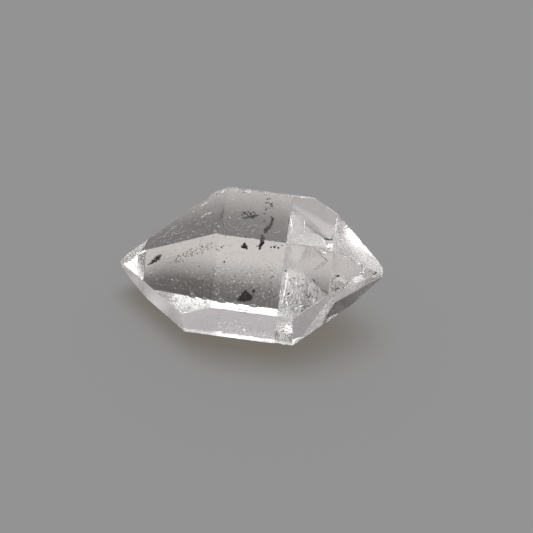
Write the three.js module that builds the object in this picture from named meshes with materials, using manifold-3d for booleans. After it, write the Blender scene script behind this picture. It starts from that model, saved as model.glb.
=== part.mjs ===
// Herkimer diamond: a clear quartz crystal that grew a point at each end.
//
// It is one solid. Six side faces stand round the long axis, 60 degrees apart, and each has an end face
// above it at both ends, always at the same angle, as in every quartz crystal. What makes this crystal
// its own is how far each face stands from the middle. It lies on one of its side faces.
//
// Millimetres. +X runs along the crystal to its right-hand point, +Y to the back, +Z up.

import * as THREE from 'three';
import { ConvexGeometry } from 'three/addons/geometries/ConvexGeometry.js';
import { mergeVertices } from 'three/addons/utils/BufferGeometryUtils.js';
import Module from 'manifold-3d';

// ---------- driving dimensions ----------

const SIDE_TURN = 60; // degrees from one side face to the next
const END_LEAN = 38.21; // degrees from a side face's normal to the normal of the end face above it

// How far the faces stand from the crystal's middle: the side face, and the end faces above it on the
// left and on the right. They go round from the top, over the front, to the base and up the back.
const REACH = {
  top: { side: 6.12, left: 6.61, right: 9.23 },
  front: { side: 6.27, left: 6.61, right: 9.46 },
  skirt: { side: 5.81, left: 7.99, right: 7.36 },
  base: { side: 6.12, left: 10.85, right: 7.52 },
  heel: { side: 5.6, left: 9.7, right: 6.1 },
  back: { side: 6.12, left: 7.32, right: 7.87 },
};
const SIDES = Object.keys(REACH);

// Growth ledges: a strip along an edge that stands a little lower than the rest of its face.
// on: the face; from: the face across the edge; wide: the strip's width; drop: how much lower it is;
// skew: degrees that the ledge's rim turns away from the edge.
const LEDGES = [
  { on: 'right back', from: 'side back', wide: 0.9, drop: 0.05, skew: 4 },
  { on: 'side back', from: 'left back', wide: 1.1, drop: 0.06, skew: -5 },
  { on: 'side back', from: 'left back', wide: 0.5, drop: 0.12, skew: 2 },
  { on: 'right base', from: 'right heel', wide: 0.7, drop: 0.06, skew: -3 },
];

// Chipped edges. edge: the two faces that share it; ends: the faces that close it at its start and finish.
// Each chip is a shell-like scoop. at: its place, 0 to 1 along the edge; depth: how far it goes below the
// edge; curve: the bowl's radius; tip: 0 scoops towards the first face's side, 1 towards the second;
// rings: ripples in the bowl.
const CHIPPED_EDGES = [
  {
    edge: ['left top', 'left back'],
    ends: ['left front', 'side back'],
    chips: [
      { at: 0.8, depth: 0.14, curve: 0.6, tip: 0.6 },
      { at: 0.86, depth: 0.3, curve: 0.8, tip: 0.4 },
    ],
  },
  {
    edge: ['side skirt', 'side base'],
    ends: ['left skirt', 'right base'],
    chips: [
      { at: 0.46, depth: 0.06, curve: 0.9, tip: 0.5 },
      { at: 0.88, depth: 0.1, curve: 1.6, tip: 0.12, rings: 3 },
      { at: 0.975, depth: 0.1, curve: 0.9, tip: 0.25 },
    ],
  },
  {
    edge: ['side top', 'side front'],
    ends: ['left front', 'right top'],
    chips: [{ at: 0.98, depth: 0.06, curve: 0.5, tip: 0.3 }],
  },
  {
    edge: ['side top', 'right back'],
    ends: ['right top', 'side back'],
    chips: [{ at: 0.12, depth: 0.06, curve: 0.7, tip: 0.5 }],
  },
  {
    edge: ['right top', 'right back'],
    ends: ['side top', 'right heel'],
    chips: [
      { at: 0.14, depth: 0.09, curve: 0.5, tip: 0.4 },
      { at: 0.53, depth: 0.07, curve: 0.9, tip: 0.6 },
      { at: 0.95, depth: 0.12, curve: 1.8, tip: 0.5 },
    ],
  },
  {
    edge: ['right front', 'right skirt'],
    ends: ['side front', 'right top'],
    chips: [{ at: 0.03, depth: 0.06, curve: 0.5, tip: 0.4 }],
  },
  {
    edge: ['right skirt', 'right heel'],
    ends: ['right base', 'right top'],
    chips: [{ at: 0.25, depth: 0.1, curve: 0.8, tip: 0.6 }],
  },
  {
    edge: ['side heel', 'side base'],
    ends: ['left heel', 'right heel'],
    chips: [
      { at: 0.53, depth: 0.16, curve: 0.8, tip: 0.3 },
      { at: 0.66, depth: 0.1, curve: 0.6, tip: 0.4 },
      { at: 0.8, depth: 0.13, curve: 0.9, tip: 0.5 },
    ],
  },
  {
    edge: ['side heel', 'side back'],
    ends: ['left back', 'right heel'],
    chips: [{ at: 0.3, depth: 0.3, curve: 1.3, tip: 0.5, rings: 2 }],
  },
  {
    edge: ['right heel', 'right back'],
    ends: ['side back', 'right top'],
    chips: [{ at: 0.4, depth: 0.18, curve: 0.9, tip: 0.4 }],
  },
  {
    edge: ['right base', 'right heel'],
    ends: ['side base', 'right skirt'],
    chips: [{ at: 0.5, depth: 0.16, curve: 0.8, tip: 0.6 }],
  },
];

// The two points are worn blunt. corner: the three faces that meet there; depth: how much is missing.
const BLUNT = [
  { corner: ['right top', 'right skirt', 'right heel'], depth: 0.46, curve: 2.2 },
  { corner: ['left front', 'left skirt', 'left back'], depth: 0.1, curve: 0.6 },
];

const BOWL_STEPS = 7; // rings of facets in a chip's bowl
const BOWL_SIDES = 20; // facets round it
const RIPPLE = 0.012; // height of a chip's ripples
const TOOL_HEADROOM = 0.8; // how far a cutting tool stands clear of the face
const LEDGE_LENGTH = 30; // longer than any edge

const QUARTZ = { color: 0xdcdad4, roughness: 0.04, metalness: 0 };

// ---------- faces, corners and edges ----------

const AXIS = new THREE.Vector3(1, 0, 0);

// The flat that a face named such as 'side top' or 'left heel' lies in.
function face(name) {
  const [end, side] = name.split(' ');
  const turn = THREE.MathUtils.degToRad(90 - SIDE_TURN * SIDES.indexOf(side));
  const outward = new THREE.Vector3(0, -Math.cos(turn), Math.sin(turn));
  const lean = end === 'side' ? 0 : THREE.MathUtils.degToRad(END_LEAN);
  const towards = end === 'left' ? -1 : 1;
  const normal = outward.multiplyScalar(Math.cos(lean)).addScaledVector(AXIS, towards * Math.sin(lean));
  return new THREE.Plane(normal, -REACH[side][end]);
}

// The point where three faces meet, or null where two of them run alongside each other.
function corner(a, b, c) {
  const [p, q, r] = [a, b, c].map((f) => (typeof f === 'string' ? face(f) : f));
  const across = new THREE.Vector3().crossVectors(q.normal, r.normal);
  const volume = p.normal.dot(across);
  if (Math.abs(volume) < 1e-6) {
    return null;
  }
  const point = across.multiplyScalar(-p.constant);
  point.addScaledVector(new THREE.Vector3().crossVectors(r.normal, p.normal), -q.constant);
  point.addScaledVector(new THREE.Vector3().crossVectors(p.normal, q.normal), -r.constant);
  return point.divideScalar(volume);
}

// ---------- the crystal before it was damaged ----------

function sharpCrystal() {
  const flats = SIDES.flatMap((side) => ['side', 'left', 'right'].map((end) => face(`${end} ${side}`)));
  const corners = [];
  for (let i = 0; i < flats.length; i += 1) {
    for (let j = i + 1; j < flats.length; j += 1) {
      for (let k = j + 1; k < flats.length; k += 1) {
        const point = corner(flats[i], flats[j], flats[k]);
        if (point && flats.every((flat) => flat.distanceToPoint(point) < 1e-6)) {
          corners.push(point);
        }
      }
    }
  }
  return new ConvexGeometry(corners);
}

// ---------- what is missing from it ----------

// A shallow bowl of revolution about +Y with its lowest point `depth` below the origin.
function bowl({ depth, curve, rings = 0 }) {
  const rim = Math.sqrt(2 * curve * (depth + TOOL_HEADROOM));
  const profile = [];
  for (let i = 0; i <= BOWL_STEPS * (1 + rings); i += 1) {
    const part = i / (BOWL_STEPS * (1 + rings));
    const radius = rim * part;
    const ripple = rings ? RIPPLE * Math.sin(part * rings * 6 * Math.PI) * (1 - part) : 0;
    profile.push(new THREE.Vector2(radius, (radius * radius) / (2 * curve) - depth + ripple));
  }
  profile.push(new THREE.Vector2(0, TOOL_HEADROOM + 0.01));
  return new THREE.LatheGeometry(profile, BOWL_SIDES);
}

function pointTool(tool, outward, place) {
  tool.applyQuaternion(new THREE.Quaternion().setFromUnitVectors(new THREE.Vector3(0, 1, 0), outward));
  return tool.translate(place.x, place.y, place.z);
}

function chipsAlong({ edge, ends, chips }) {
  const start = corner(...edge, ends[0]);
  const finish = corner(...edge, ends[1]);
  const [first, second] = edge.map((name) => face(name).normal);
  return chips.map(({ at, tip, ...shape }) => {
    const outward = first.clone().lerp(second, tip).normalize();
    return pointTool(bowl(shape), outward, start.clone().lerp(finish, at));
  });
}

function blunt({ corner: faces, ...shape }) {
  const outward = faces.reduce((sum, name) => sum.add(face(name).normal), new THREE.Vector3());
  return pointTool(bowl(shape), outward.normalize(), corner(...faces));
}

// A block whose underside is the ledge's floor and whose inner side is the ledge's rim.
function ledge({ on, from, wide, drop, skew }) {
  const up = face(on).normal;
  const neighbour = face(from).normal;
  const edge = new THREE.Vector3().crossVectors(up, neighbour).normalize();
  const place = corner(on, from, new THREE.Plane(edge, 0));
  const inward = neighbour.clone().projectOnPlane(up).normalize().negate();
  inward.applyAxisAngle(up, THREE.MathUtils.degToRad(skew));
  const along = new THREE.Vector3().crossVectors(up, inward);
  const block = new THREE.BoxGeometry(LEDGE_LENGTH, TOOL_HEADROOM * 4, LEDGE_LENGTH);
  block.translate(0, TOOL_HEADROOM * 2 - drop, wide - LEDGE_LENGTH / 2);
  block.applyMatrix4(new THREE.Matrix4().makeBasis(along, up, inward));
  return block.translate(place.x, place.y, place.z);
}

// ---------- cutting ----------

const wasm = await Module();
wasm.setup();

function solid(geometry) {
  geometry.deleteAttribute('normal');
  geometry.deleteAttribute('uv');
  const merged = mergeVertices(geometry, 1e-5);
  return new wasm.Manifold(
    new wasm.Mesh({
      numProp: 3,
      vertProperties: Float32Array.from(merged.attributes.position.array),
      triVerts: Uint32Array.from(merged.index.array),
    }),
  );
}

function geometryOf(manifold) {
  const mesh = manifold.getMesh();
  const geometry = new THREE.BufferGeometry();
  geometry.setAttribute('position', new THREE.BufferAttribute(mesh.vertProperties, 3));
  geometry.setIndex(new THREE.BufferAttribute(mesh.triVerts, 1));
  return geometry;
}

// ---------- the object ----------

let body = solid(sharpCrystal());
for (const tool of [...LEDGES.map(ledge), ...CHIPPED_EDGES.flatMap(chipsAlong), ...BLUNT.map(blunt)]) {
  body = body.subtract(solid(tool));
}

const geometry = geometryOf(body).toNonIndexed();
geometry.computeVertexNormals();
geometry.computeBoundingBox();
const { min, max } = geometry.boundingBox;
geometry.translate(-(min.x + max.x) / 2, -(min.y + max.y) / 2, -min.z);

const crystal = new THREE.Mesh(geometry, new THREE.MeshStandardMaterial(QUARTZ));
crystal.name = 'crystal';

const group = new THREE.Group();
group.add(crystal);

export default group;
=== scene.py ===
# Herkimer diamond: a clear quartz crystal, pointed at both ends, lying on one of its side faces.
# Metres. +X runs along the crystal to its right-hand point, +Y to the back, +Z up.

import math
import random

import bpy
from mathutils import Matrix, Quaternion, Vector


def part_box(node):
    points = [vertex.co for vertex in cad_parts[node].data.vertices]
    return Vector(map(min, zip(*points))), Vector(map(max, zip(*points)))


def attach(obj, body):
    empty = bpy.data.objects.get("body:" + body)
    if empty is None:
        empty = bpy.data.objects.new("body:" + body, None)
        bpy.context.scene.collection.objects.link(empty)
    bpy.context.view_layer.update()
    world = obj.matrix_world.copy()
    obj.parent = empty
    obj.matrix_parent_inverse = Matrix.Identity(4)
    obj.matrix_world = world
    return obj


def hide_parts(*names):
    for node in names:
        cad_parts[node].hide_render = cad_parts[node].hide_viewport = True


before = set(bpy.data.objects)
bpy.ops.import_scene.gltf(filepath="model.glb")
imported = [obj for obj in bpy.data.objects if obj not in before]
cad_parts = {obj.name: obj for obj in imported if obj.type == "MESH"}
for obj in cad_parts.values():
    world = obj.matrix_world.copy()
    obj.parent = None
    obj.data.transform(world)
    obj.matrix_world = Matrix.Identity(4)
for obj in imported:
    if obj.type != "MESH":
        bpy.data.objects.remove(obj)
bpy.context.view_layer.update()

MM = 0.001
MICRON = 0.001 * MM
QUARTZ_IOR = 1.544

# ---------- the crystal's faces ----------

ENDS = ("side", "left", "right")
SIDES = ("top", "front", "skirt", "base", "heel", "back")
SIDE_TURN = 60  # degrees from one side face to the next
END_LEAN = 38.21  # degrees from a side face's normal to the normal of the end face next to it
MIDDLE = Vector((0.2614, 0.1039, 6.12)) * MM  # the camera's aim and all boxes are counted from here


def face_normal(end, side):
    """Outward normal of a face such as side top or left heel."""
    turn = math.radians(90 - SIDE_TURN * SIDES.index(side))
    lean = 0 if end == "side" else math.radians(END_LEAN)
    towards = -1 if end == "left" else 1
    outward = Vector((0, -math.cos(turn), math.sin(turn)))
    return outward * math.cos(lean) + Vector((towards * math.sin(lean), 0, 0))


FACES = {f"{end} {side}": face_normal(end, side) for side in SIDES for end in ENDS}
CAD_CORNERS = [vertex.co.copy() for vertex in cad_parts["crystal"].data.vertices]
REACH = {name: max(normal.dot(place) for place in CAD_CORNERS) for name, normal in FACES.items()}

# ---------- camera ----------

ELEVATION = math.radians(38.72)
YAW = math.radians(4.05)
ROLL = math.radians(4.91)
DISTANCE = 120 * MM
AIM_RIGHT = 1.328 * MM
AIM_UP = 0.046 * MM
FOCAL_PIXELS = 1310.0
FRAME_PIXELS = 533
SENSOR = 36

towards_camera = Vector(
    (math.sin(YAW) * math.cos(ELEVATION), -math.cos(YAW) * math.cos(ELEVATION), math.sin(ELEVATION))
)
level_right = Vector((math.cos(YAW), math.sin(YAW), 0))
level_up = towards_camera.cross(level_right)
picture_right = level_right * math.cos(ROLL) + level_up * math.sin(ROLL)
picture_up = level_up * math.cos(ROLL) - level_right * math.sin(ROLL)
aim = MIDDLE + picture_right * AIM_RIGHT + picture_up * AIM_UP
camera_place = aim + towards_camera * DISTANCE
camera_turn = Matrix((picture_right, picture_up, towards_camera)).transposed()
camera_data = bpy.data.cameras.new("camera")
camera_data.sensor_width = SENSOR
camera_data.lens = SENSOR * FOCAL_PIXELS / FRAME_PIXELS
camera_data.clip_start = 1 * MM
camera_data.clip_end = 10
camera = bpy.data.objects.new("camera", camera_data)
camera.matrix_world = Matrix.Translation(camera_place) @ camera_turn.to_4x4()
bpy.context.scene.collection.objects.link(camera)
bpy.context.scene.camera = camera

# ---------- places inside the crystal ----------

PIXEL = 0.0904 * MM  # what one picture point covers at the crystal
OVERHEAD = Vector((0, 0, 1))
SKIN = 0.5  # mm under the face, where a flake's shine is worked out
FACES_UP = 0.01  # least upward part of the normal of a face that lets in the light overhead


def bent_sight(x, y):
    """Where the line of sight through a picture point enters the crystal, and its way inside."""
    across, down = (x - FRAME_PIXELS / 2) / FOCAL_PIXELS, (y - FRAME_PIXELS / 2) / FOCAL_PIXELS
    sight = (picture_right * across - picture_up * down - towards_camera).normalized()
    entries = []
    for name, normal in FACES.items():
        slope = normal.dot(sight)
        if slope < 0:
            entries.append(((REACH[name] - normal.dot(camera_place)) / slope, normal))
    reach, normal = max(entries, key=lambda entry: entry[0])
    cosine = -normal.dot(sight)
    bend = 1 / QUARTZ_IOR
    bent = sight * bend + normal * (bend * cosine - math.sqrt(1 - bend**2 * (1 - cosine**2)))
    return camera_place + sight * reach, bent


def seen_inside(x, y, deep):
    """The point `deep` mm inside the crystal that is seen at picture point (x, y)."""
    entry, bent = bent_sight(x, y)
    return entry + bent * deep * MM


def to_light(where):
    """The way from a point inside to the light overhead, bent at the face above the point."""
    heights = [
        ((REACH[name] - normal.dot(where)) / normal.z, normal)
        for name, normal in FACES.items()
        if normal.z > FACES_UP
    ]
    normal = min(heights, key=lambda height: height[0])[1]
    level = (OVERHEAD - normal * normal.z) / QUARTZ_IOR
    return level + normal * math.sqrt(1 - level.length_squared)


def facing_light(x, y, along):
    """The turn of a thin flake that runs along `along` and shines in the light from above."""
    shining = (to_light(seen_inside(x, y, SKIN)) - bent_sight(x, y)[1]).normalized()
    along = (along - shining * along.dot(shining)).normalized()
    return Matrix((along, shining.cross(along), shining)).transposed()


def is_inside(point, margin):
    return all(normal.dot(point) < REACH[name] - margin for name, normal in FACES.items())


# ---------- growth ledges and damage ----------

BLOCK = 40 * MM  # the block that the crystal is cut from
EDGE_ROUND = 0.03 * MM
HEADROOM = 0.8 * MM  # how far a cutting tool stands clear of a face
LEDGE_LENGTH = 30 * MM  # longer than any edge
SHORTEST_EDGE = 0.1 * MM
PARALLEL = 1e-3  # two faces turned by less than this share no edge
NO_SLOPE = 1e-6
BALL_SEGMENTS = 40
BALL_RINGS = 40
RIPPLE = 0.014 * MM  # height of a chip's ripples
RIPPLE_TURN = 0.9  # how far each ring of the ball moves along the ripples' wave
BREAK_WAVE = 0.05  # how wavy a broken surface is, against the size of the ball that cuts it

# the ledge's face, the face beside it, the strip's width and drop in mm, its rim's turn in degrees
LEDGES = (
    ("right back", "side back", 0.9, 0.05, 4),
    ("side back", "left back", 1.1, 0.06, -5),
    ("side back", "left back", 0.5, 0.12, 2),
    ("right base", "right heel", 0.7, 0.06, -3),
)

# the two faces that share the edge, the faces that end it, and its chips: place along the edge,
# depth and radius of the scoop in mm, lean of the scoop between the two faces, ripples
CHIPPED_EDGES = (
    (
        ("left top", "left back"),
        ("left front", "side back"),
        (
            dict(at=0.8, depth=0.14, curve=0.6, tip=0.6),
            dict(at=0.86, depth=0.3, curve=0.8, tip=0.4),
        ),
    ),
    (
        ("side skirt", "side base"),
        ("left skirt", "right base"),
        (
            dict(at=0.46, depth=0.06, curve=0.9, tip=0.5),
            dict(at=0.88, depth=0.1, curve=1.6, tip=0.12, rings=3),
            dict(at=0.975, depth=0.1, curve=0.9, tip=0.25),
        ),
    ),
    (
        ("side top", "side front"),
        ("left front", "right top"),
        (dict(at=0.98, depth=0.06, curve=0.5, tip=0.3),),
    ),
    (
        ("side top", "right back"),
        ("right top", "side back"),
        (dict(at=0.12, depth=0.06, curve=0.7, tip=0.5),),
    ),
    (
        ("right top", "right back"),
        ("side top", "right heel"),
        (
            dict(at=0.14, depth=0.09, curve=0.5, tip=0.4),
            dict(at=0.53, depth=0.07, curve=0.9, tip=0.6),
            dict(at=0.95, depth=0.12, curve=1.8, tip=0.5),
        ),
    ),
    (
        ("right front", "right skirt"),
        ("side front", "right top"),
        (dict(at=0.03, depth=0.06, curve=0.5, tip=0.4),),
    ),
    (
        ("right skirt", "right heel"),
        ("right base", "right top"),
        (dict(at=0.25, depth=0.1, curve=0.8, tip=0.6),),
    ),
    (
        ("side heel", "side base"),
        ("left heel", "right heel"),
        (
            dict(at=0.53, depth=0.16, curve=0.8, tip=0.3),
            dict(at=0.66, depth=0.1, curve=0.6, tip=0.4),
            dict(at=0.8, depth=0.13, curve=0.9, tip=0.5),
        ),
    ),
    (
        ("side heel", "side back"),
        ("left back", "right heel"),
        (dict(at=0.3, depth=0.3, curve=1.3, tip=0.5, rings=2),),
    ),
    (
        ("right heel", "right back"),
        ("side back", "right top"),
        (dict(at=0.4, depth=0.18, curve=0.9, tip=0.4),),
    ),
    (
        ("right base", "right heel"),
        ("side base", "right skirt"),
        (dict(at=0.5, depth=0.16, curve=0.8, tip=0.6),),
    ),
)
# the faces that meet in the point, depth and radius of the scoop in mm
BLUNT_POINTS = (
    (("right top", "right skirt", "right heel"), 0.46, 2.2),
    (("left front", "left skirt", "left back"), 0.1, 0.6),
)

NICKS_PER_MM = 0.8
NICK_SIZES = (0.03 * MM, 0.09 * MM)
NICK_STRETCH = (1, 2)
NICK_RISE = (0.2, 0.6)  # how far a nick's middle stands out from the edge, against its size
# how many times more nicks the more worn edges have
WORN = {
    ("right top", "right back"): 3,
    ("right top", "right front"): 3,
    ("right front", "right skirt"): 3,
    ("left top", "left back"): 2.5,
    ("side base", "side heel"): 5,
    ("side skirt", "side base"): 3,
}

PIT_SIZES = (0.03 * MM, 0.07 * MM)
PIT_RISE = 0.3  # how far a pit's middle stands out from its face, against its size
PIT_MARGIN = 0.1 * MM  # how far pits keep from the edges
DENT_CLEARANCE = 1.35  # room round each dent, against its size
# face, how many pits, and the box they lie in, in mm from the crystal's middle
PITTED = (
    ("side skirt", 60, (-2, 4.4), (-6, -3), (-5.8, -3.0)),
    ("side skirt", 25, (2.6, 4.4), (-6, -3), (-5.8, -1)),
    ("side top", 30, (-3, 7), (-3.7, 3.5), (6, 6.2)),
    ("right top", 110, (5, 12), (-3, 3), (1, 6)),
    ("left top", 25, (-11, -3), (-3, 3.5), (0, 6)),
    ("side heel", 40, (-8, 4), (2, 7), (-6, 0.5)),
)

BRUISE_LONG, BRUISE_FLAT = 1.2, 0.7  # length and height of a bruise against its half width
# picture point and half width in picture points of the larger bruises
BRUISES = (
    (323.5, 249, 1.0), (336.5, 243.5, 0.8), (202, 204.5, 1.2), (205, 203.5, 1.5), (208, 202.5, 1.2),
    (201.5, 217, 1.0), (204, 215, 1.3), (207.5, 213.5, 1.2), (210.5, 212.8, 0.9), (205.5, 222, 0.9),
    (345.5, 226.5, 1.6), (271, 193.8, 1.2), (265, 193.2, 1.2), (180, 219.5, 0.9), (192, 213, 1.2),
    (189.5, 214.5, 0.9), (370, 275, 1.2), (374, 272.5, 1.1), (366, 279.5, 1.0), (283, 308, 1.5),
    (286, 306.5, 1.1), (297, 310, 1.2), (232, 322, 1.1), (244, 330, 1.6), (248, 329, 1.2),
    (266, 334, 1.2), (276, 330, 1.2), (279, 335, 1.5), (284, 331, 1.3), (287, 336, 1.2),
    (281, 341, 1.2), (290, 330, 1.1),
)

# ---------- workshop ----------


def pick_only(piece):
    bpy.ops.object.select_all(action="DESELECT")
    piece.select_set(True)
    bpy.context.view_layer.objects.active = piece


def settle(piece):
    """The piece's place goes into its mesh, so its object sits at the origin."""
    pick_only(piece)
    bpy.ops.object.transform_apply(location=True, rotation=True, scale=True)


def modify(piece, kind, **settings):
    pick_only(piece)
    bpy.ops.object.modifier_add(type=kind)
    modifier = piece.modifiers[-1]
    for name, value in settings.items():
        setattr(modifier, name, value)
    bpy.ops.object.modifier_apply(modifier=modifier.name)


def wire(tree, node, inputs):
    """Each input is set to a plain value or linked to another node's output."""
    for socket, value in inputs.items():
        if isinstance(value, bpy.types.NodeSocket):
            tree.links.new(value, node.inputs[socket])
        else:
            node.inputs[socket].default_value = value


def put(tree, kind, inputs=None, **settings):
    """A new node, its settings first and then its inputs."""
    node = tree.nodes.new(kind)
    for name, value in settings.items():
        setattr(node, name, value)
    wire(tree, node, inputs or {})
    return node


def maths(tree, operation, *values):
    inputs = dict(enumerate(values))
    return put(tree, "ShaderNodeMath", inputs, operation=operation).outputs[0]


def fade(tree, value, start, end, **settings):
    """0 up to the start and 1 from the end on."""
    inputs = {"Value": value, "From Min": start, "From Max": end}
    return put(tree, "ShaderNodeMapRange", inputs, **settings).outputs["Result"]


def mix_colours(tree, factor, *colours):
    first, second = ((*colour, 1) if isinstance(colour, tuple) else colour for colour in colours)
    inputs = {"Factor": factor, 6: first, 7: second}
    return put(tree, "ShaderNodeMix", inputs, data_type="RGBA").outputs[2]


def noise(tree, position, scale, detail):
    inputs = {"Vector": position, "Scale": scale, "Detail": detail}
    return put(tree, "ShaderNodeTexNoise", inputs).outputs["Fac"]


def new_material(name):
    """A material, its nodes, its shader and the position on the piece."""
    material = bpy.data.materials.new(name)
    material.use_nodes = True
    tree = material.node_tree
    position = put(tree, "ShaderNodeTexCoord").outputs["Object"]
    return material, tree, tree.nodes["Principled BSDF"], position


# ---------- the crystal's finish ----------

LINE_STRETCH = (1, 0.08, 0.08)  # growth lines run round the crystal, across its length
PATCHES_PER_METRE = 900
SOOT_PER_METRE = 5000
SILVER_PER_METRE = 3000
SILVER_SHADE = 0.7  # tone of a bubble's darker clouds against its lighter ones
ETCHED_TO = (5.5 * MM, 4.6 * MM)
ETCHED_FADE = 0.3 * MM
PIT_EDGE = (0.12, 0.4)  # from a pit's floor to the face round it, against the cells' size
PATCH_EDGE = (0.35, 0.7)  # noise values between which a frosted patch fades in


def relief_group():
    """Relief of the grown faces, from 0 to 1: lines round the crystal, grain, pits and patches."""
    group = bpy.data.node_groups.new("growth_relief", "ShaderNodeTree")
    group.interface.new_socket("Position", in_out="INPUT", socket_type="NodeSocketVector")
    for name, value in (("Line Spacing", 0.25), ("Grain Size", 0.15), ("Pit Size", 0.3)):
        socket = group.interface.new_socket(name, in_out="INPUT", socket_type="NodeSocketFloat")
        socket.default_value = value
    for name in ("Lines", "Grain", "Pits", "Patches"):
        group.interface.new_socket(name, in_out="OUTPUT", socket_type="NodeSocketFloat")
    given = put(group, "NodeGroupInput").outputs
    position = given["Position"]

    def per_metre(size):
        return maths(group, "DIVIDE", 1 / MM, given[size])

    inputs = {0: position, 1: LINE_STRETCH}
    stretched = put(group, "ShaderNodeVectorMath", inputs, operation="MULTIPLY").outputs[0]
    cells = put(group, "ShaderNodeTexVoronoi", {"Vector": position, "Scale": per_metre("Pit Size")})
    results = {
        "Lines": noise(group, stretched, per_metre("Line Spacing"), 3),
        "Grain": noise(group, position, per_metre("Grain Size"), 2),
        "Pits": fade(group, cells.outputs["Distance"], *PIT_EDGE),
        "Patches": fade(group, noise(group, position, PATCHES_PER_METRE, 3), *PATCH_EDGE),
    }
    put(group, "NodeGroupOutput", results)
    return group


growth_relief = relief_group()


def quartz(
    name,
    roughness=0.0,
    frost=0.0,
    lines=0.4,
    grain=0.3,
    pits=0.0,
    spacing=0.3,
    size=0.2,
    pit=0.35,
    ends=None,
):
    """Clear quartz. Frost is roughness in patches; lines, grain and pits are heights in microns.

    The spacing of the growth lines, the size of the grain and that of the pits are in mm. With
    ends, frost, lines and grain lie only to the left of the first end and below the second.
    """
    material, tree, shader, position = new_material(name)
    sizes = {"Position": position, "Line Spacing": spacing, "Grain Size": size, "Pit Size": pit}
    relief = put(tree, "ShaderNodeGroup", sizes, node_tree=growth_relief).outputs
    mask, line_height, grain_height = relief["Patches"], relief["Lines"], relief["Grain"]
    if ends:
        axes = put(tree, "ShaderNodeSeparateXYZ", {0: position}).outputs
        limits = ((axes["X"], ends[0]), (axes["Z"], ends[1]))
        near = [fade(tree, axis, end + ETCHED_FADE, end - ETCHED_FADE) for axis, end in limits]
        mask = maths(tree, "MULTIPLY", *near)
        line_height = maths(tree, "MULTIPLY", mask, line_height)
        grain_height = maths(tree, "MULTIPLY", mask, grain_height)
    height = maths(tree, "MULTIPLY_ADD", line_height, lines, 0)
    height = maths(tree, "MULTIPLY_ADD", grain_height, grain, height)
    height = maths(tree, "MULTIPLY_ADD", relief["Pits"], pits, height)
    bump = put(tree, "ShaderNodeBump", {"Distance": MICRON, "Height": height})
    looks = {
        "Base Color": (1, 1, 1, 1),
        "IOR": QUARTZ_IOR,
        "Transmission Weight": 1,
        "Roughness": maths(tree, "MULTIPLY_ADD", mask, frost, roughness),
        "Normal": bump.outputs["Normal"],
    }
    wire(tree, shader, looks)
    return material


FINISHES = (
    quartz("quartz_clear", frost=0.02),
    quartz(
        "quartz_dimpled",
        frost=0.03,
        lines=1,
        grain=10,
        pits=20,
        spacing=0.22,
        size=0.12,
        pit=0.4,
    ),
    quartz("quartz_etched", frost=0.1, lines=2.5, grain=7, spacing=0.45, size=0.3, ends=ETCHED_TO),
    quartz("quartz_grainy", frost=0.05, lines=1.0, grain=8, size=0.16),
    quartz("quartz_frosted", roughness=0.22, frost=0.1, grain=1.0),
    quartz("quartz_broken", roughness=0.2, frost=0.3, lines=0.0, grain=6.0, size=0.25),
    quartz("quartz_bruised", roughness=0.5, frost=0.1, grain=4.0, size=0.05),
)

# ---------- small grains ----------

rng = random.Random(7)


def shard(name, subdivisions, roughness, flatness, seed):
    """A small jagged grain of one metre radius, to be copied at its real size."""
    bpy.ops.object.select_all(action="DESELECT")
    bpy.ops.mesh.primitive_ico_sphere_add(subdivisions=subdivisions, radius=1)
    grain = bpy.context.object
    grain.name = name
    bpy.ops.object.mode_set(mode="EDIT")
    bpy.ops.mesh.select_all(action="SELECT")
    bpy.ops.transform.resize(value=(1, 0.8, flatness))
    bpy.ops.transform.vertex_random(offset=roughness, seed=seed)
    bpy.ops.object.mode_set(mode="OBJECT")
    return grain


def copy_of(grain, where, size, turn):
    copy = grain.copy()
    copy.data = grain.data.copy()
    copy.matrix_world = Matrix.Translation(where) @ turn.to_4x4() @ Matrix.Diagonal((*size, 1))
    bpy.context.scene.collection.objects.link(copy)
    return copy


def any_turn():
    axis = Vector((rng.uniform(-1, 1), rng.uniform(-1, 1), rng.uniform(-1, 1))).normalized()
    return Quaternion(axis, rng.uniform(0, 2 * math.pi)).to_matrix()


def point_in(box):
    """Any point of a box that is given in mm from the crystal's middle."""
    return Vector([rng.uniform(*span) for span in box]) * MM + MIDDLE


def join(copies):
    bpy.ops.object.select_all(action="DESELECT")
    for copy in copies:
        copy.select_set(True)
    bpy.context.view_layer.objects.active = copies[0]
    bpy.ops.object.join()
    settle(copies[0])
    return copies[0]


# ---------- the crystal's shape ----------

break_waves = bpy.data.textures.new("break_waves", "CLOUDS")
break_waves.noise_scale = 0.45 * MM
break_waves.noise_depth = 2


def sharp_crystal():
    """A block cut down by the eighteen face planes."""
    low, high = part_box("crystal")
    bpy.ops.object.select_all(action="DESELECT")
    bpy.ops.mesh.primitive_cube_add(size=BLOCK, location=(low + high) / 2)
    piece = bpy.context.object
    piece.name = "crystal_body"
    settle(piece)
    bpy.ops.object.mode_set(mode="EDIT")
    for name, normal in FACES.items():
        bpy.ops.mesh.select_all(action="SELECT")
        bpy.ops.mesh.bisect(
            plane_co=normal * REACH[name], plane_no=normal, use_fill=True, clear_outer=True
        )
    bpy.ops.object.mode_set(mode="OBJECT")
    return piece


def corner(first, second, third):
    """The point where three faces meet; the third may be a plain (normal, reach) pair."""
    faces = (first, second, third)
    planes = [(FACES[face], REACH[face]) if isinstance(face, str) else face for face in faces]
    rows = Matrix([normal for normal, _ in planes])
    return rows.inverted() @ Vector([reach for _, reach in planes])


def soften_edges(piece):
    """Every edge is very slightly rounded."""
    pick_only(piece)
    bpy.ops.object.mode_set(mode="EDIT")
    bpy.ops.mesh.select_all(action="SELECT")
    bpy.ops.mesh.bevel(offset=EDGE_ROUND, segments=2, affect="EDGES")
    bpy.ops.object.mode_set(mode="OBJECT")


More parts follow.
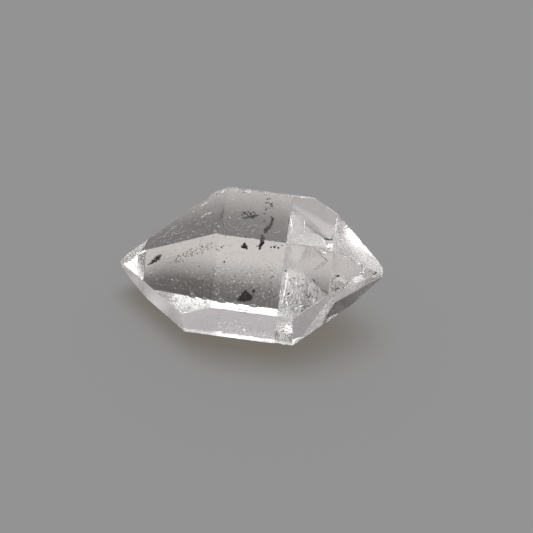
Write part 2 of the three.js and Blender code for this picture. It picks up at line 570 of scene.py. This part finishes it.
def finish_with(piece, name):
    piece.data.materials.append(bpy.data.materials[name])


def cut_away(piece, tool):
    modify(
        piece,
        "BOOLEAN",
        operation="DIFFERENCE",
        object=tool,
        solver="MANIFOLD",
        material_mode="TRANSFER",
    )
    bpy.data.objects.remove(tool)


def ledge_tool(on, beside, wide, drop, skew):
    """A block whose underside is the floor of a growth ledge and whose inner side is its rim."""
    upward, neighbour = FACES[on], FACES[beside]
    edge = upward.cross(neighbour).normalized()
    place = corner(on, beside, (edge, 0))
    inward = -(neighbour - upward * neighbour.dot(upward)).normalized()
    inward = Quaternion(upward, math.radians(skew)) @ inward
    across = upward.cross(inward)
    bpy.ops.object.select_all(action="DESELECT")
    bpy.ops.mesh.primitive_cube_add(size=1, scale=(LEDGE_LENGTH, HEADROOM * 4, LEDGE_LENGTH))
    tool = bpy.context.object
    turn = Matrix((across, upward, inward)).transposed().to_4x4()
    tool.location = (
        place + upward * (HEADROOM * 2 - drop * MM) + inward * (wide * MM - LEDGE_LENGTH / 2)
    )
    tool.rotation_euler = turn.to_euler()
    settle(tool)
    finish_with(tool, "quartz_clear")
    return tool


def ripple(tool, curve, rings):
    """Ripples round the top of a ball, one ring of its corners at a time."""
    bpy.ops.object.mode_set(mode="EDIT")
    for ring in range(1, BALL_RINGS // 2):
        low = -math.cos(math.pi * (ring + 0.5) / BALL_RINGS) * curve * MM
        high = -math.cos(math.pi * (ring - 0.5) / BALL_RINGS) * curve * MM
        bpy.ops.mesh.select_all(action="DESELECT")
        bpy.ops.object.mode_set(mode="OBJECT")
        for vertex in tool.data.vertices:
            vertex.select = high < vertex.co.z < low
        bpy.ops.object.mode_set(mode="EDIT")
        bpy.ops.transform.shrink_fatten(value=RIPPLE * math.sin(ring * rings * RIPPLE_TURN))
    bpy.ops.object.mode_set(mode="OBJECT")


def chip_tool(place, outward, depth, curve, rings=0):
    """A ball that scoops out a shell-like chip, with the ripples and waves of broken quartz."""
    bpy.ops.object.select_all(action="DESELECT")
    bpy.ops.mesh.primitive_uv_sphere_add(
        segments=BALL_SEGMENTS, ring_count=BALL_RINGS, radius=curve * MM
    )
    tool = bpy.context.object
    if rings:
        ripple(tool, curve, rings)
    tool.rotation_mode = "QUATERNION"
    tool.rotation_quaternion = outward.to_track_quat("Z", "Y")
    tool.location = place + outward * (curve - depth) * MM
    settle(tool)
    finish_with(tool, "quartz_broken")
    modify(
        tool,
        "DISPLACE",
        texture=break_waves,
        texture_coords="GLOBAL",
        strength=curve * BREAK_WAVE * MM,
        mid_level=0.5,
    )
    return tool


def chips_along(edge, ends, chips):
    start, finish = corner(*edge, ends[0]), corner(*edge, ends[1])
    first, second = (FACES[face] for face in edge)
    for chip in chips:
        place = start.lerp(finish, chip["at"])
        outward = first.lerp(second, chip["tip"]).normalized()
        yield chip_tool(place, outward, chip["depth"], chip["curve"], chip.get("rings", 0))


def blunt_tool(faces, depth, curve):
    outward = sum((FACES[face] for face in faces), Vector()).normalized()
    return chip_tool(corner(*faces), outward, depth, curve)


def edge_span(first, second):
    """The two ends of the edge that two faces share, or None where they don't meet."""
    along = FACES[first].cross(FACES[second])
    if along.length < PARALLEL:
        return None
    along.normalize()
    middle = corner(first, second, (along, 0))
    low, high = -1.0, 1.0
    for name, normal in FACES.items():
        slope, gap = normal.dot(along), REACH[name] - normal.dot(middle)
        if name in (first, second):
            continue
        if slope > NO_SLOPE:
            high = min(high, gap / slope)
        elif slope < -NO_SLOPE:
            low = max(low, gap / slope)
        elif gap < 0:
            return None
    return (middle + along * low, middle + along * high) if high - low > SHORTEST_EDGE else None


taken = []


def is_free(where, size):
    """Dents never overlap, so that all of them can be cut at once."""
    reach = size * DENT_CLEARANCE
    if any((where - other).length < reach + other_reach for other, other_reach in taken):
        return False
    taken.append((where, reach))
    return True


def edge_nicks():
    """Tiny bruises along the edges, closest where the crystal is most knocked about."""
    nick = shard("nick", 1, 0.1, 0.8, 5)
    finish_with(nick, "quartz_bruised")
    copies = []
    names = list(FACES)
    for i, first in enumerate(names):
        for second in names[i + 1 :]:
            span = edge_span(first, second)
            if span is None:
                continue
            outward = (FACES[first] + FACES[second]).normalized()
            length = (span[1] - span[0]).length / MM
            for _ in range(int(length * NICKS_PER_MM * WORN.get((first, second), 1))):
                size = rng.uniform(*NICK_SIZES)
                where = span[0].lerp(span[1], rng.random())
                where += outward * size * rng.uniform(*NICK_RISE)
                long, turn = size * rng.uniform(*NICK_STRETCH), any_turn()
                if is_free(where, long):
                    copies.append(copy_of(nick, where, (long, size, size), turn))
    bpy.data.objects.remove(nick)
    return join(copies)


def bruises():
    """Larger crushed spots, each with its centre on the face that is seen at its picture point."""
    bruise = shard("bruise", 2, 0.25, 0.5, 11)
    finish_with(bruise, "quartz_bruised")
    copies = []
    for x, y, half in BRUISES:
        size, where, turn = half * PIXEL, seen_inside(x, y, 0), any_turn()
        long = size * BRUISE_LONG
        if is_free(where, long):
            copies.append(copy_of(bruise, where, (long, size, size * BRUISE_FLAT), turn))
    bpy.data.objects.remove(bruise)
    return join(copies)


def face_pits():
    """Small shallow pits in the faces."""
    pit = shard("pit", 1, 0.05, 0.5, 9)
    finish_with(pit, "quartz_bruised")
    copies = []
    for face, count, *box in PITTED:
        normal, placed = FACES[face], 0
        others = [name for name in FACES if name != face]
        while placed < count:
            point = point_in(box)
            point += normal * (REACH[face] - normal.dot(point))
            if all(FACES[name].dot(point) < REACH[name] - PIT_MARGIN for name in others):
                size = rng.uniform(*PIT_SIZES)
                turn = any_turn()
                placed += 1
                if is_free(point, size):
                    where = point + normal * size * PIT_RISE
                    copies.append(copy_of(pit, where, (size, size, size), turn))
    bpy.data.objects.remove(pit)
    return join(copies)


crystal = sharp_crystal()
for finish in FINISHES:
    crystal.data.materials.append(finish)
soften_edges(crystal)
for ledge in LEDGES:
    cut_away(crystal, ledge_tool(*ledge))
for chipped_edge in CHIPPED_EDGES:
    for tool in chips_along(*chipped_edge):
        cut_away(crystal, tool)
for point in BLUNT_POINTS:
    cut_away(crystal, blunt_tool(*point))
cut_away(crystal, join([bruises(), face_pits(), edge_nicks()]))

FACE_FINISH = {
    "side base": "quartz_frosted",
    "side heel": "quartz_dimpled",
    "side back": "quartz_dimpled",
    "right heel": "quartz_etched",
    "right back": "quartz_grainy",
}
FLAT_WITHIN = 0.15 * MM  # a ledge counts as part of its face
FACING = 0.99999  # cosine of the turn between a flat spot and its face

for polygon in crystal.data.polygons:
    face = max(FACES, key=lambda name: FACES[name].dot(polygon.normal))
    below = REACH[face] - FACES[face].dot(polygon.center)
    if FACES[face].dot(polygon.normal) > FACING and below < FLAT_WITHIN:
        polygon.material_index = crystal.data.materials.find(FACE_FINISH.get(face, "quartz_clear"))
    polygon.use_smooth = crystal.data.materials[polygon.material_index].name == "quartz_broken"
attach(crystal, "root")
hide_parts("crystal")

# ---------- what the crystal holds ----------

# how deep in mm, then picture point and half width in picture points of every fleck
CARBON = {
    "carbon_patch": (
        0.3,
        (
            (240.0, 299.2, 1.7), (241.6, 297.2, 2.1), (243.2, 294.6, 2.0), (245.2, 291.6, 1.5),
            (244.0, 299.6, 1.8), (247.4, 293.8, 1.9), (249.4, 296.0, 2.1), (251.4, 297.2, 1.4),
            (247.4, 299.4, 1.8), (250.0, 299.0, 1.4), (238.4, 300.2, 0.9), (253.9, 290.8, 1.5),
            (246.8, 298.0, 1.0), (242.0, 299.8, 1.6), (248.2, 297.6, 1.4), (252.6, 291.0, 0.9),
            (243.4, 297.0, 0.9), (256.5, 296.0, 0.5), (255.0, 294.0, 0.5), (246.4, 295.4, 1.4),
            (244.4, 297.8, 1.2), (248.0, 296.4, 1.2),
        ),
    ),
    "carbon_wedge": (
        1.2,
        (
            (244.7, 243.8, 1.2), (244.2, 245.6, 1.5), (243.0, 247.0, 1.5), (245.6, 246.6, 1.7),
            (246.6, 248.4, 1.1), (241.8, 247.4, 0.7), (245.0, 248.0, 0.9),
        ),
    ),
    "carbon_smudge": (
        1.4,
        (
            (244.2, 213.0, 1.5), (242.0, 215.0, 1.1), (246.6, 214.6, 1.3), (243.4, 218.0, 1.1),
            (246.0, 217.8, 1.5), (248.6, 216.4, 1.7), (250.6, 216.8, 1.9), (252.8, 216.8, 2.1),
            (250.6, 213.8, 1.5), (254.9, 215.6, 1.7), (257.4, 215.2, 1.0), (248.2, 212.0, 1.1),
            (240.8, 212.4, 0.6), (254.6, 213.0, 1.0), (252.8, 212.2, 0.8), (259.0, 215.6, 0.5),
            (243.0, 211.6, 0.6),
        ),
    ),
    "carbon_trail": (
        1.0,
        (
            (267.5, 199.2, 1.2), (269.8, 198.4, 1.1), (266.2, 202.8, 1.1), (268.6, 202.4, 0.8),
            (271.0, 204.0, 1.4), (272.0, 206.0, 1.4), (265.8, 209.4, 1.1), (267.6, 208.2, 1.1),
            (265.4, 207.0, 0.6), (264.4, 213.4, 1.0), (271.6, 211.4, 0.5), (264.2, 221.2, 0.9),
            (271.2, 216.8, 0.9), (272.2, 218.4, 1.4), (272.5, 220.2, 1.5), (271.7, 222.2, 1.4),
            (271.0, 224.2, 1.4), (270.2, 226.0, 1.5), (268.8, 227.4, 1.9), (267.4, 229.0, 2.0),
            (265.8, 230.8, 1.8), (265.2, 232.6, 1.2), (264.6, 229.4, 1.0), (262.0, 235.4, 1.2),
            (261.6, 236.6, 0.9), (263.8, 238.2, 1.1), (263.4, 242.4, 1.3), (261.8, 243.4, 1.7),
            (260.8, 245.0, 1.5), (260.0, 247.2, 1.3), (259.6, 249.0, 0.9), (257.0, 246.0, 0.6),
            (271.0, 247.2, 0.9), (274.4, 247.0, 1.1), (278.4, 247.8, 1.1), (276.0, 245.6, 0.5),
            (282.0, 245.4, 0.6), (264.4, 194.4, 0.6), (270.8, 250.4, 0.4), (262.6, 240.4, 0.7),
        ),
    ),
    "carbon_specks": (
        0.8,
        (
            (224.3, 262.0, 0.9), (285.5, 270.8, 1.0), (288.3, 293.7, 1.1), (221.4, 247.0, 0.7),
            (223.6, 246.0, 0.6), (218.0, 249.5, 0.5), (216.0, 246.0, 0.4), (308.6, 300.0, 0.6),
            (273.0, 276.4, 0.7), (271.4, 277.2, 0.6), (163.0, 270.0, 0.5), (300.6, 296.4, 0.5),
            (313.6, 232.0, 0.5), (326.0, 222.0, 0.5), (308.0, 205.0, 0.4),
        ),
    ),
}
# a dark streak of fluid, given as the carbon is
SPINDLE = (
    0.9,
    (
        (148.4, 264.3, 0.8), (150.2, 263.6, 1.1), (151.8, 262.4, 1.4), (153.2, 261.2, 1.7),
        (154.8, 260.4, 2.0), (156.4, 259.4, 2.0), (157.8, 258.2, 1.9), (159.0, 256.8, 1.6),
        (160.0, 255.8, 1.2), (161.4, 254.8, 0.7), (154.2, 258.8, 1.0), (156.0, 257.2, 1.1),
        (157.8, 255.8, 1.0), (159.6, 255.0, 0.8),
    ),
)
FLECK_SPREAD = 0.1  # mm up or down from its depth
FLECK_SWELL = 1.15
CRUMBS = 3  # how many lie round each fleck whose half width is past the next value
CRUMBS_FROM = 1.2
CRUMB_AWAY = (1.0, 1.5)  # from the fleck's middle, against its half width
CRUMB_HALF = (0.3, 0.6)
FLECK_LONG, CRUMB_LONG = 1.1, 1.4  # length against width
# picture point and half width of the dark-rimmed bubbles of a healed crack under the front face
FLUID = (
    (170.0, 262.6, 0.7), (172.2, 261.6, 0.7), (174.6, 260.8, 0.8), (176.2, 259.6, 0.9),
    (177.4, 257.6, 0.8), (178.6, 255.8, 0.9), (180.4, 256.4, 0.7), (180.8, 258.8, 0.7),
    (178.8, 261.4, 1.0), (176.0, 262.6, 0.7), (183.0, 255.2, 0.8), (183.6, 253.6, 0.7),
    (186.6, 253.4, 0.8), (187.0, 251.6, 0.7), (185.6, 256.2, 0.9), (188.2, 256.0, 0.7),
    (189.4, 249.8, 0.8), (191.4, 248.8, 0.8), (190.8, 251.2, 0.7), (192.6, 252.4, 0.8),
    (190.2, 254.2, 0.9), (192.2, 255.0, 0.6), (194.8, 253.8, 0.6), (197.0, 253.0, 0.6),
    (199.4, 252.4, 0.6), (195.6, 250.6, 0.7), (196.4, 249.2, 0.6), (199.8, 244.2, 0.7),
    (202.2, 246.6, 0.8), (204.4, 248.6, 0.6), (207.0, 247.2, 0.9), (208.0, 249.2, 0.7),
    (207.6, 245.4, 0.7), (211.2, 243.6, 0.8), (212.6, 242.8, 0.5), (201.8, 250.8, 0.6),
    (205.4, 244.8, 0.5), (216.6, 249.6, 0.6), (219.4, 250.8, 0.5), (222.0, 248.0, 0.6),
)
FLUID_DEPTH = 0.6
FLUID_SPREAD = 0.15
FLUID_SWELL = 1.1
# start and end picture points and half width of the thin dark and bright cracks
DARK_CRACKS = (
    (317.2, 250.2, 321.6, 255.2, 0.45), (321.8, 255.4, 327.4, 261.2, 0.5),
    (222.6, 208.5, 221.4, 214.5, 0.4), (221.4, 214.5, 222.0, 221.0, 0.45),
    (222.0, 221.0, 224.6, 228.0, 0.4), (224.6, 228.0, 226.4, 234.0, 0.35),
    (289.6, 219.0, 288.2, 227.0, 0.5), (172.4, 232.4, 169.4, 240.0, 0.35),
    (237.5, 311.9, 247.5, 313.5, 0.45), (282.0, 342.6, 290.0, 343.6, 0.5),
    (273.5, 341.2, 276.5, 341.8, 0.4),
)
BRIGHT_CRACKS = (
    (287.6, 272.0, 286.8, 281.0, 0.35), (286.8, 280.0, 285.0, 289.0, 0.5),
    (285.2, 288.0, 283.4, 297.0, 0.55), (283.6, 296.0, 281.6, 303.8, 0.4),
    (286.2, 299.0, 287.6, 306.0, 0.4), (287.6, 305.0, 286.0, 312.0, 0.35),
    (280.6, 290.0, 280.0, 296.0, 0.3), (293.0, 288.0, 292.2, 294.0, 0.25),
    (309.2, 285.5, 308.4, 294.0, 0.25), (299.6, 296.0, 299.0, 302.0, 0.25),
    (315.2, 299.5, 315.0, 304.0, 0.5), (290.6, 218.6, 291.2, 224.0, 0.3),
    (291.4, 223.6, 292.4, 229.0, 0.35), (304.4, 221.0, 304.8, 227.0, 0.2),
    (171.0, 229.0, 174.6, 226.0, 0.22), (170.4, 238.4, 173.6, 230.6, 0.22),
    (164.0, 236.0, 170.0, 229.6, 0.2), (296.0, 308.0, 303.0, 305.4, 0.6),
    (326.4, 246.6, 328.4, 244.2, 0.3), (328.6, 244.0, 331.8, 244.8, 0.3),
    (332.0, 250.4, 328.4, 250.6, 0.3), (323.0, 252.0, 326.4, 253.4, 0.3),
    (201.0, 206.6, 204.4, 203.6, 0.4), (204.4, 203.8, 208.6, 202.4, 0.4),
    (201.2, 217.6, 205.0, 214.4, 0.4), (205.0, 214.4, 211.0, 212.6, 0.3),
    (344.0, 227.6, 347.6, 225.8, 0.6),
)
CRACK_DEPTH = 0.5
CRACK_SPREAD = 0.1
CRACK_REACH = 0.62  # half length of a sliver against its span, so that neighbours overlap
CRACK_FLAT = 0.3  # thickness against width

# hair cracks: how many, the ranges of their upper end, lean, length and half width in picture
# points, and of their depth in mm
HAIR_CRACKS = 16
HAIR_ACROSS, HAIR_DOWN = (280, 317), (272, 308)
HAIR_LEAN, HAIR_LENGTH, HAIR_HALF = (-1.4, 0.8), (3, 8), (0.1, 0.24)
HAIR_DEPTH = (0.3, 1.2)

# the ripples of an inner break: its middle, the radii of its rings and their half width in picture
# points, their depth in mm, and the degrees that they start at and turn by
SWIRL_MIDDLE = (283.5, 335.5)
SWIRL_RINGS = (2.2, 4.0, 5.8, 7.6)
SWIRL_STEPS = 9
SWIRL_HALF, SWIRL_DEPTH = 0.4, 0.3
SWIRL_START, SWIRL_TURN = 150, 25
SWIRL_TALL = 1.1  # height of the rings against their width

# how many tiny motes, the part of the picture they lie in, and their half width, in picture points
BRIGHT_SPECKLE = (
    (50, (206, 272), (319, 338), (0.4, 0.9)),
    (20, (212, 238), (321, 333), (0.6, 1.1)),
    (260, (155, 284), (270, 300), (0.16, 0.36)),
    (140, (215, 284), (280, 303), (0.18, 0.4)),
    (24, (273, 291), (318, 343), (0.4, 0.9)),
    (30, (283, 320), (272, 312), (0.2, 0.4)),
    (40, (325, 372), (286, 318), (0.3, 0.6)),
    (24, (340, 378), (232, 268), (0.3, 0.6)),
)
DARK_SPECKLE = (
    (220, (150, 285), (266, 300), (0.3, 0.6)),
    (240, (283, 318), (278, 312), (0.35, 0.7)),
    (14, (174, 184), (255, 262), (0.3, 0.5)),
    (20, (182, 194), (251, 258), (0.3, 0.5)),
    (26, (190, 204), (247, 255), (0.3, 0.55)),
    (26, (198, 213), (243, 250), (0.3, 0.5)),
    (110, (326, 352), (300, 334), (0.45, 0.9)),
    (40, (274, 291), (322, 342), (0.35, 0.7)),
    (60, (340, 378), (232, 268), (0.25, 0.5)),
    (40, (325, 372), (286, 318), (0.3, 0.6)),
    (40, (170, 300), (192, 240), (0.2, 0.4)),
    (30, (206, 290), (319, 340), (0.25, 0.5)),
)
SPECKLE_DEPTH = (0.15, 0.9)
SPECKLE_MARGIN = 0.08 * MM
MOTE_LONG, MOTE_FLAT = 1.2, 0.4  # length and thickness against width

# fine gas bubbles: how many, the box they lie in (mm from the crystal's middle), the face they keep
# to and how close in mm
BUBBLES = (
    (500, (-8.5, 4.3), (2, 7), (-6, 0.5), "side heel", 0.5),
    (60, (-3, 7), (-3.5, 3.5), (5, 6.1), "side top", 0.8),
    (170, (-3, 5), (-7, -3), (-6, -2), "side skirt", 0.4),
    (90, (4, 12), (-4, 3), (1, 6), "right top", 0.8),
    (50, (-11, -3), (-4, 3.5), (0, 6), "left top", 0.8),
    (60, (3, 9), (1, 6), (-5, 2), "right heel", 0.8),
    (80, (-11, 11), (-6, 6), (-6, 6), None, 0),
)
BUBBLE_SIZES = (0.02 * MM, 0.055 * MM)
BUBBLE_STRETCH = (0.6, 1.6)
BUBBLE_MARGIN = 0.1 * MM


def carbon():
    """Dull black soot with a rough skin."""
    material, tree, shader, position = new_material("carbon_black")
    soot = noise(tree, position, SOOT_PER_METRE, 4)
    bump = put(tree, "ShaderNodeBump", {"Distance": 3 * MICRON, "Height": soot})
    looks = {
        "Base Color": mix_colours(tree, soot, (0.006, 0.005, 0.005), (0.016, 0.014, 0.012)),
        "Roughness": 0.6,
        "Specular IOR Level": 0,
        "Normal": bump.outputs["Normal"],
    }
    wire(tree, shader, looks)
    return material


def silver(name, tone, roughness):
    """The mirror look of a gas bubble or an open crack inside quartz."""
    material, tree, shader, position = new_material(name)
    darker = tuple(value * SILVER_SHADE for value in tone)
    clouds = noise(tree, position, SILVER_PER_METRE, 2)
    colour = mix_colours(tree, clouds, darker, tone)
    wire(tree, shader, {"Base Color": colour, "Metallic": 1, "Roughness": roughness})
    return material


def gather(name, copies, material):
    """All the copies become one piece that is sealed in the crystal."""
    piece = join(copies)
    piece.name = name
    piece.data.materials.clear()
    piece.data.materials.append(material)
    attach(piece, "root")
    return piece


def flecks(flake, deep, places):
    """Ragged flecks at one depth. The larger ones have crumbs round them."""
    copies = []
    for x, y, half in places:
        where = seen_inside(x, y, deep + rng.uniform(-FLECK_SPREAD, FLECK_SPREAD))
        size = half * PIXEL * FLECK_SWELL
        copies.append(copy_of(flake, where, (size * FLECK_LONG, size, size), any_turn()))
        for _ in range(CRUMBS if half > CRUMBS_FROM else 0):
            turn, away = rng.uniform(0, 2 * math.pi), half * rng.uniform(*CRUMB_AWAY)
            where = seen_inside(x + away * math.cos(turn), y + away * math.sin(turn), deep)
            size = rng.uniform(*CRUMB_HALF) * PIXEL
            copies.append(copy_of(flake, where, (size * CRUMB_LONG, size, size), any_turn()))
    return copies


def crack(sliver, x1, y1, x2, y2, half, deep):
    """A long thin sliver between two picture points."""
    start, end = seen_inside(x1, y1, deep), seen_inside(x2, y2, deep)
    size = half * PIXEL
    turn = facing_light(x1, y1, end - start)
    length = (end - start).length * CRACK_REACH
    return copy_of(sliver, (start + end) / 2, (length, size, size * CRACK_FLAT), turn)


def swirl_point(radius, step):
    turn = math.radians(SWIRL_START + SWIRL_TURN * step)
    across, down = radius * math.cos(turn), radius * math.sin(turn) * SWIRL_TALL
    return SWIRL_MIDDLE[0] + across, SWIRL_MIDDLE[1] + down


def speckle(mote, count, across, down, halves):
    """Tiny motes strewn over a part of the picture, just under the crystal's skin."""
    copies = []
    while len(copies) < count:
        x, y = rng.uniform(*across), rng.uniform(*down)
        where = seen_inside(x, y, rng.uniform(*SPECKLE_DEPTH))
        if is_inside(where, SPECKLE_MARGIN):
            size = rng.uniform(*halves) * PIXEL
            turn = facing_light(x, y, any_turn().col[0])
            spread = (size * MOTE_LONG, size, size * MOTE_FLAT)
            copies.append(copy_of(mote, where, spread, turn))
    return copies


carbon_black = carbon()
flake = shard("flake", 2, 0.3, 0.75, 3)
for name, (deep, places) in CARBON.items():
    gather(name, flecks(flake, deep, places), carbon_black)
fluid_dark = silver("fluid_dark", (0.14, 0.13, 0.12), 0.4)
gather("fluid_spindle", flecks(flake, *SPINDLE), fluid_dark)
bpy.data.objects.remove(flake)

drop = shard("drop", 2, 0.08, 0.8, 8)
copies = []
for x, y, half in FLUID:
    size = half * PIXEL * FLUID_SWELL
    where = seen_inside(x, y, FLUID_DEPTH + rng.uniform(-FLUID_SPREAD, FLUID_SPREAD))
    copies.append(copy_of(drop, where, (size, size, size), any_turn()))
gather("fluid_bubbles", copies, silver("fluid_grey", (0.32, 0.3, 0.29), 0.35))
bpy.data.objects.remove(drop)

sliver = shard("sliver", 2, 0.12, 0.5, 6)
mote = shard("mote", 1, 0.1, 0.5, 4)
copies = [crack(sliver, *line, CRACK_DEPTH) for line in DARK_CRACKS]
for radius in SWIRL_RINGS:
    for step in range(SWIRL_STEPS):
        start, end = swirl_point(radius, step), swirl_point(radius, step + 1)
        copies.append(crack(sliver, *start, *end, SWIRL_HALF, SWIRL_DEPTH))
for patch in DARK_SPECKLE:
    copies += speckle(mote, *patch)
gather("dark_cracks", copies, silver("crack_grey", (0.03, 0.028, 0.028), 0.4))
copies = []
for line in BRIGHT_CRACKS:
    deep = CRACK_DEPTH + rng.uniform(-CRACK_SPREAD, CRACK_SPREAD)
    copies.append(crack(sliver, *line, deep))
for _ in range(HAIR_CRACKS):
    x, y = rng.uniform(*HAIR_ACROSS), rng.uniform(*HAIR_DOWN)
    lean, length = rng.uniform(*HAIR_LEAN), rng.uniform(*HAIR_LENGTH)
    half, deep = rng.uniform(*HAIR_HALF), rng.uniform(*HAIR_DEPTH)
    copies.append(crack(sliver, x, y, x + lean, y + length, half, deep))
for patch in BRIGHT_SPECKLE:
    copies += speckle(mote, *patch)
gather("bright_cracks", copies, silver("crack_white", (1.0, 0.98, 0.98), 0.35))
bpy.data.objects.remove(sliver)
bpy.data.objects.remove(mote)

bubble = shard("bubble", 1, 0.05, 0.9, 1)
copies = []
for count, *box, face, close in BUBBLES:
    placed = 0
    while placed < count:
        point = point_in(box)
        near = face is None or FACES[face].dot(point) > REACH[face] - close * MM
        if near and is_inside(point, BUBBLE_MARGIN):
            size = rng.uniform(*BUBBLE_SIZES)
            height = size * rng.uniform(*BUBBLE_STRETCH)
            copies.append(copy_of(bubble, point, (size, size, height), any_turn()))
            placed += 1
gather("gas_bubbles", copies, silver("bubble_silver", (0.95, 0.93, 0.93), 0.25))
bpy.data.objects.remove(bubble)

# ---------- floor ----------

FLOOR_SIZE = 3
FLOOR_DROP = 0.02 * MM
# the paper's tone as the camera sees it, bluish so that with the painted fill after it the lit
# paper is grey
PAPER = (0.0615, 0.0718, 0.0856)
# painted fill glow that the camera sees on the paper, lightening the shadows and tinting them brown
PAPER_PAINTED_FILL = (0.17, 0.15, 0.125)
# the paper as it lights the crystal and shows through it, a brighter copy with painted shade that
# darkens it to the left: how far to the left in mm, and its tone
PAPER_PAINTED_SHADE_LEFTWARDS = (
    (9, (0.30, 0.285, 0.272)),
    (12, (0.26, 0.247, 0.2418)),
    (14, (0.18, 0.171, 0.1674)),
    (40, (0.17, 0.1615, 0.1581)),
    (70, (0.03, 0.03, 0.03)),
)
PAPER_REACH = 100  # mm, the whole length of that ramp
# painted pools of light on the paper under the crystal, in place of the light it gathers there,
# which the camera doesn't see directly: place and radius in mm, and its tone
PAINTED_GATHERED_LIGHT = (
    (-8.5, 0.3, 2.4, (0.6, 0.582, 0.564)),
    (-7.0, -3.5, 2.0, (0.19, 0.1843, 0.1786)),
)
GLOW_CORE = 0.25  # radius of the full glow against the whole
# painted glow over all of the paper where the camera doesn't see it directly
PAINTED_EVEN_GLOW = (0.03, 0.029, 0.028)


def paper():
    """Grey paper. The camera sees it plain, with a painted glow lifting its shadows;
    the crystal shows a brighter copy with painted shade and painted pools of gathered light.
    """
    material, tree, shader, position = new_material("paper")
    seen = put(tree, "ShaderNodeLightPath").outputs["Is Camera Ray"]
    axes = put(tree, "ShaderNodeSeparateXYZ", {0: position}).outputs
    shade = put(tree, "ShaderNodeValToRGB", {"Fac": fade(tree, axes["X"], 0, -PAPER_REACH * MM)})
    stops = shade.color_ramp.elements
    (start, near), *between, (end, far) = PAPER_PAINTED_SHADE_LEFTWARDS
    stops[0].position, stops[0].color = start / PAPER_REACH, (*near, 1)
    stops[1].position, stops[1].color = end / PAPER_REACH, (*far, 1)
    for left, tone in between:
        stops.new(left / PAPER_REACH).color = (*tone, 1)
    # the painted glow: even at first, with each pool of gathered light painted over it
    light = PAINTED_EVEN_GLOW
    for x, y, radius, tone in PAINTED_GATHERED_LIGHT:
        inputs = {0: position, 1: (x * MM, y * MM, 0)}
        away = put(tree, "ShaderNodeVectorMath", inputs, operation="DISTANCE").outputs["Value"]
        glow = fade(tree, away, radius * MM, radius * GLOW_CORE * MM)
        light = mix_colours(tree, glow, light, tone)
    looks = {
        # the crystal sees a brighter copy of the paper with painted shade to the left; the camera
        # sees the plain tone
        "Base Color": mix_colours(tree, seen, shade.outputs["Color"], PAPER),
        "Roughness": 0.9,
        "Specular IOR Level": 0.1,
        # painted glow: the camera sees a fill that lightens the shadows, the crystal sees the pools
        # of gathered light
        "Emission Color": mix_colours(tree, seen, light, PAPER_PAINTED_FILL),
        "Emission Strength": 1,
    }
    wire(tree, shader, looks)
    return material


bpy.ops.mesh.primitive_plane_add(size=FLOOR_SIZE, location=(0, 0, -FLOOR_DROP))
floor = bpy.context.object
floor.name = "floor"
settle(floor)
floor.data.materials.append(paper())

# ---------- light ----------

LIGHT_ELEVATION = math.radians(85)  # a little to the front of straight overhead
LIGHT_ANGLE = math.radians(33)  # how wide the light looks from the crystal
LIGHT_DISTANCE = 1.5
LIGHT_WIDTH = 2 * LIGHT_DISTANCE * math.tan(LIGHT_ANGLE / 2)
LIGHT_RADIANCE = 13

# the studio round the crystal, each area painted over the ones before it: its colour, and the
# values of the direction's axes between which it fades in
STUDIO_FRONT = (0.56, 0.525, 0.54)
STUDIO = {
    "left horizon": ((0.38, 0.355, 0.37), (("X", -0.3, -0.55),)),
    "sky": ((0.5, 0.48, 0.48), (("Z", 0.3, 0.5),)),
    "back": ((1.1, 1.07, 1.06), (("Z", 0.55, 0.6), ("Z", 0.78, 0.72), ("Y", 0.1, 0.3))),
    "peak": ((1.3, 1.26, 1.24), (("Z", 0.92, 0.94), ("Z", 0.985, 0.97), ("Y", 0.1, 0.2))),
    "front": ((0.7, 0.69, 0.68), (("Z", 0.03, 0.08), ("Z", 0.4, 0.35), ("Y", -0.3, -0.6))),
    "left high": ((1.4, 1.37, 1.35), (("Z", 0.55, 0.62), ("Z", 0.8, 0.72), ("X", -0.5, -0.65))),
    "left low": ((0.02, 0.02, 0.02), (("X", -0.85, -0.95), ("Z", 0.35, 0.2))),
}

towards_light = Vector((0, -math.cos(LIGHT_ELEVATION), math.sin(LIGHT_ELEVATION)))
light_data = bpy.data.lights.new("top_softbox", "AREA")
light_data.shape = "SQUARE"
light_data.size = LIGHT_WIDTH
light_data.energy = LIGHT_RADIANCE * math.pi * LIGHT_WIDTH**2
light = bpy.data.objects.new("top_softbox", light_data)
light_turn = towards_light.to_track_quat("Z", "Y").to_matrix()
light.matrix_world = (
    Matrix.Translation(MIDDLE + towards_light * LIGHT_DISTANCE) @ light_turn.to_4x4()
)
light.visible_camera = False
bpy.context.scene.collection.objects.link(light)

world = bpy.data.worlds.new("studio")
bpy.context.scene.world = world
world.use_nodes = True
tree = world.node_tree
direction = put(tree, "ShaderNodeTexCoord").outputs["Generated"]
axes = put(tree, "ShaderNodeSeparateXYZ", {0: direction}).outputs
colour = STUDIO_FRONT
for tone, limits in STUDIO.values():
    area = 1
    for axis, start, end in limits:
        part = fade(tree, axes[axis], start, end, interpolation_type="SMOOTHSTEP")
        area = maths(tree, "MULTIPLY", area, part)
    colour = mix_colours(tree, area, colour, tone)
wire(tree, tree.nodes["Background"], {"Color": colour})

bpy.context.scene.view_settings.view_transform = "Standard"
bpy.context.scene.cycles.glossy_bounces = 16
bpy.context.scene.cycles.transmission_bounces = 24
bpy.context.scene.cycles.max_bounces = 32
bpy.context.scene.cycles.caustics_refractive = False
bpy.context.scene.cycles.sample_clamp_indirect = 6
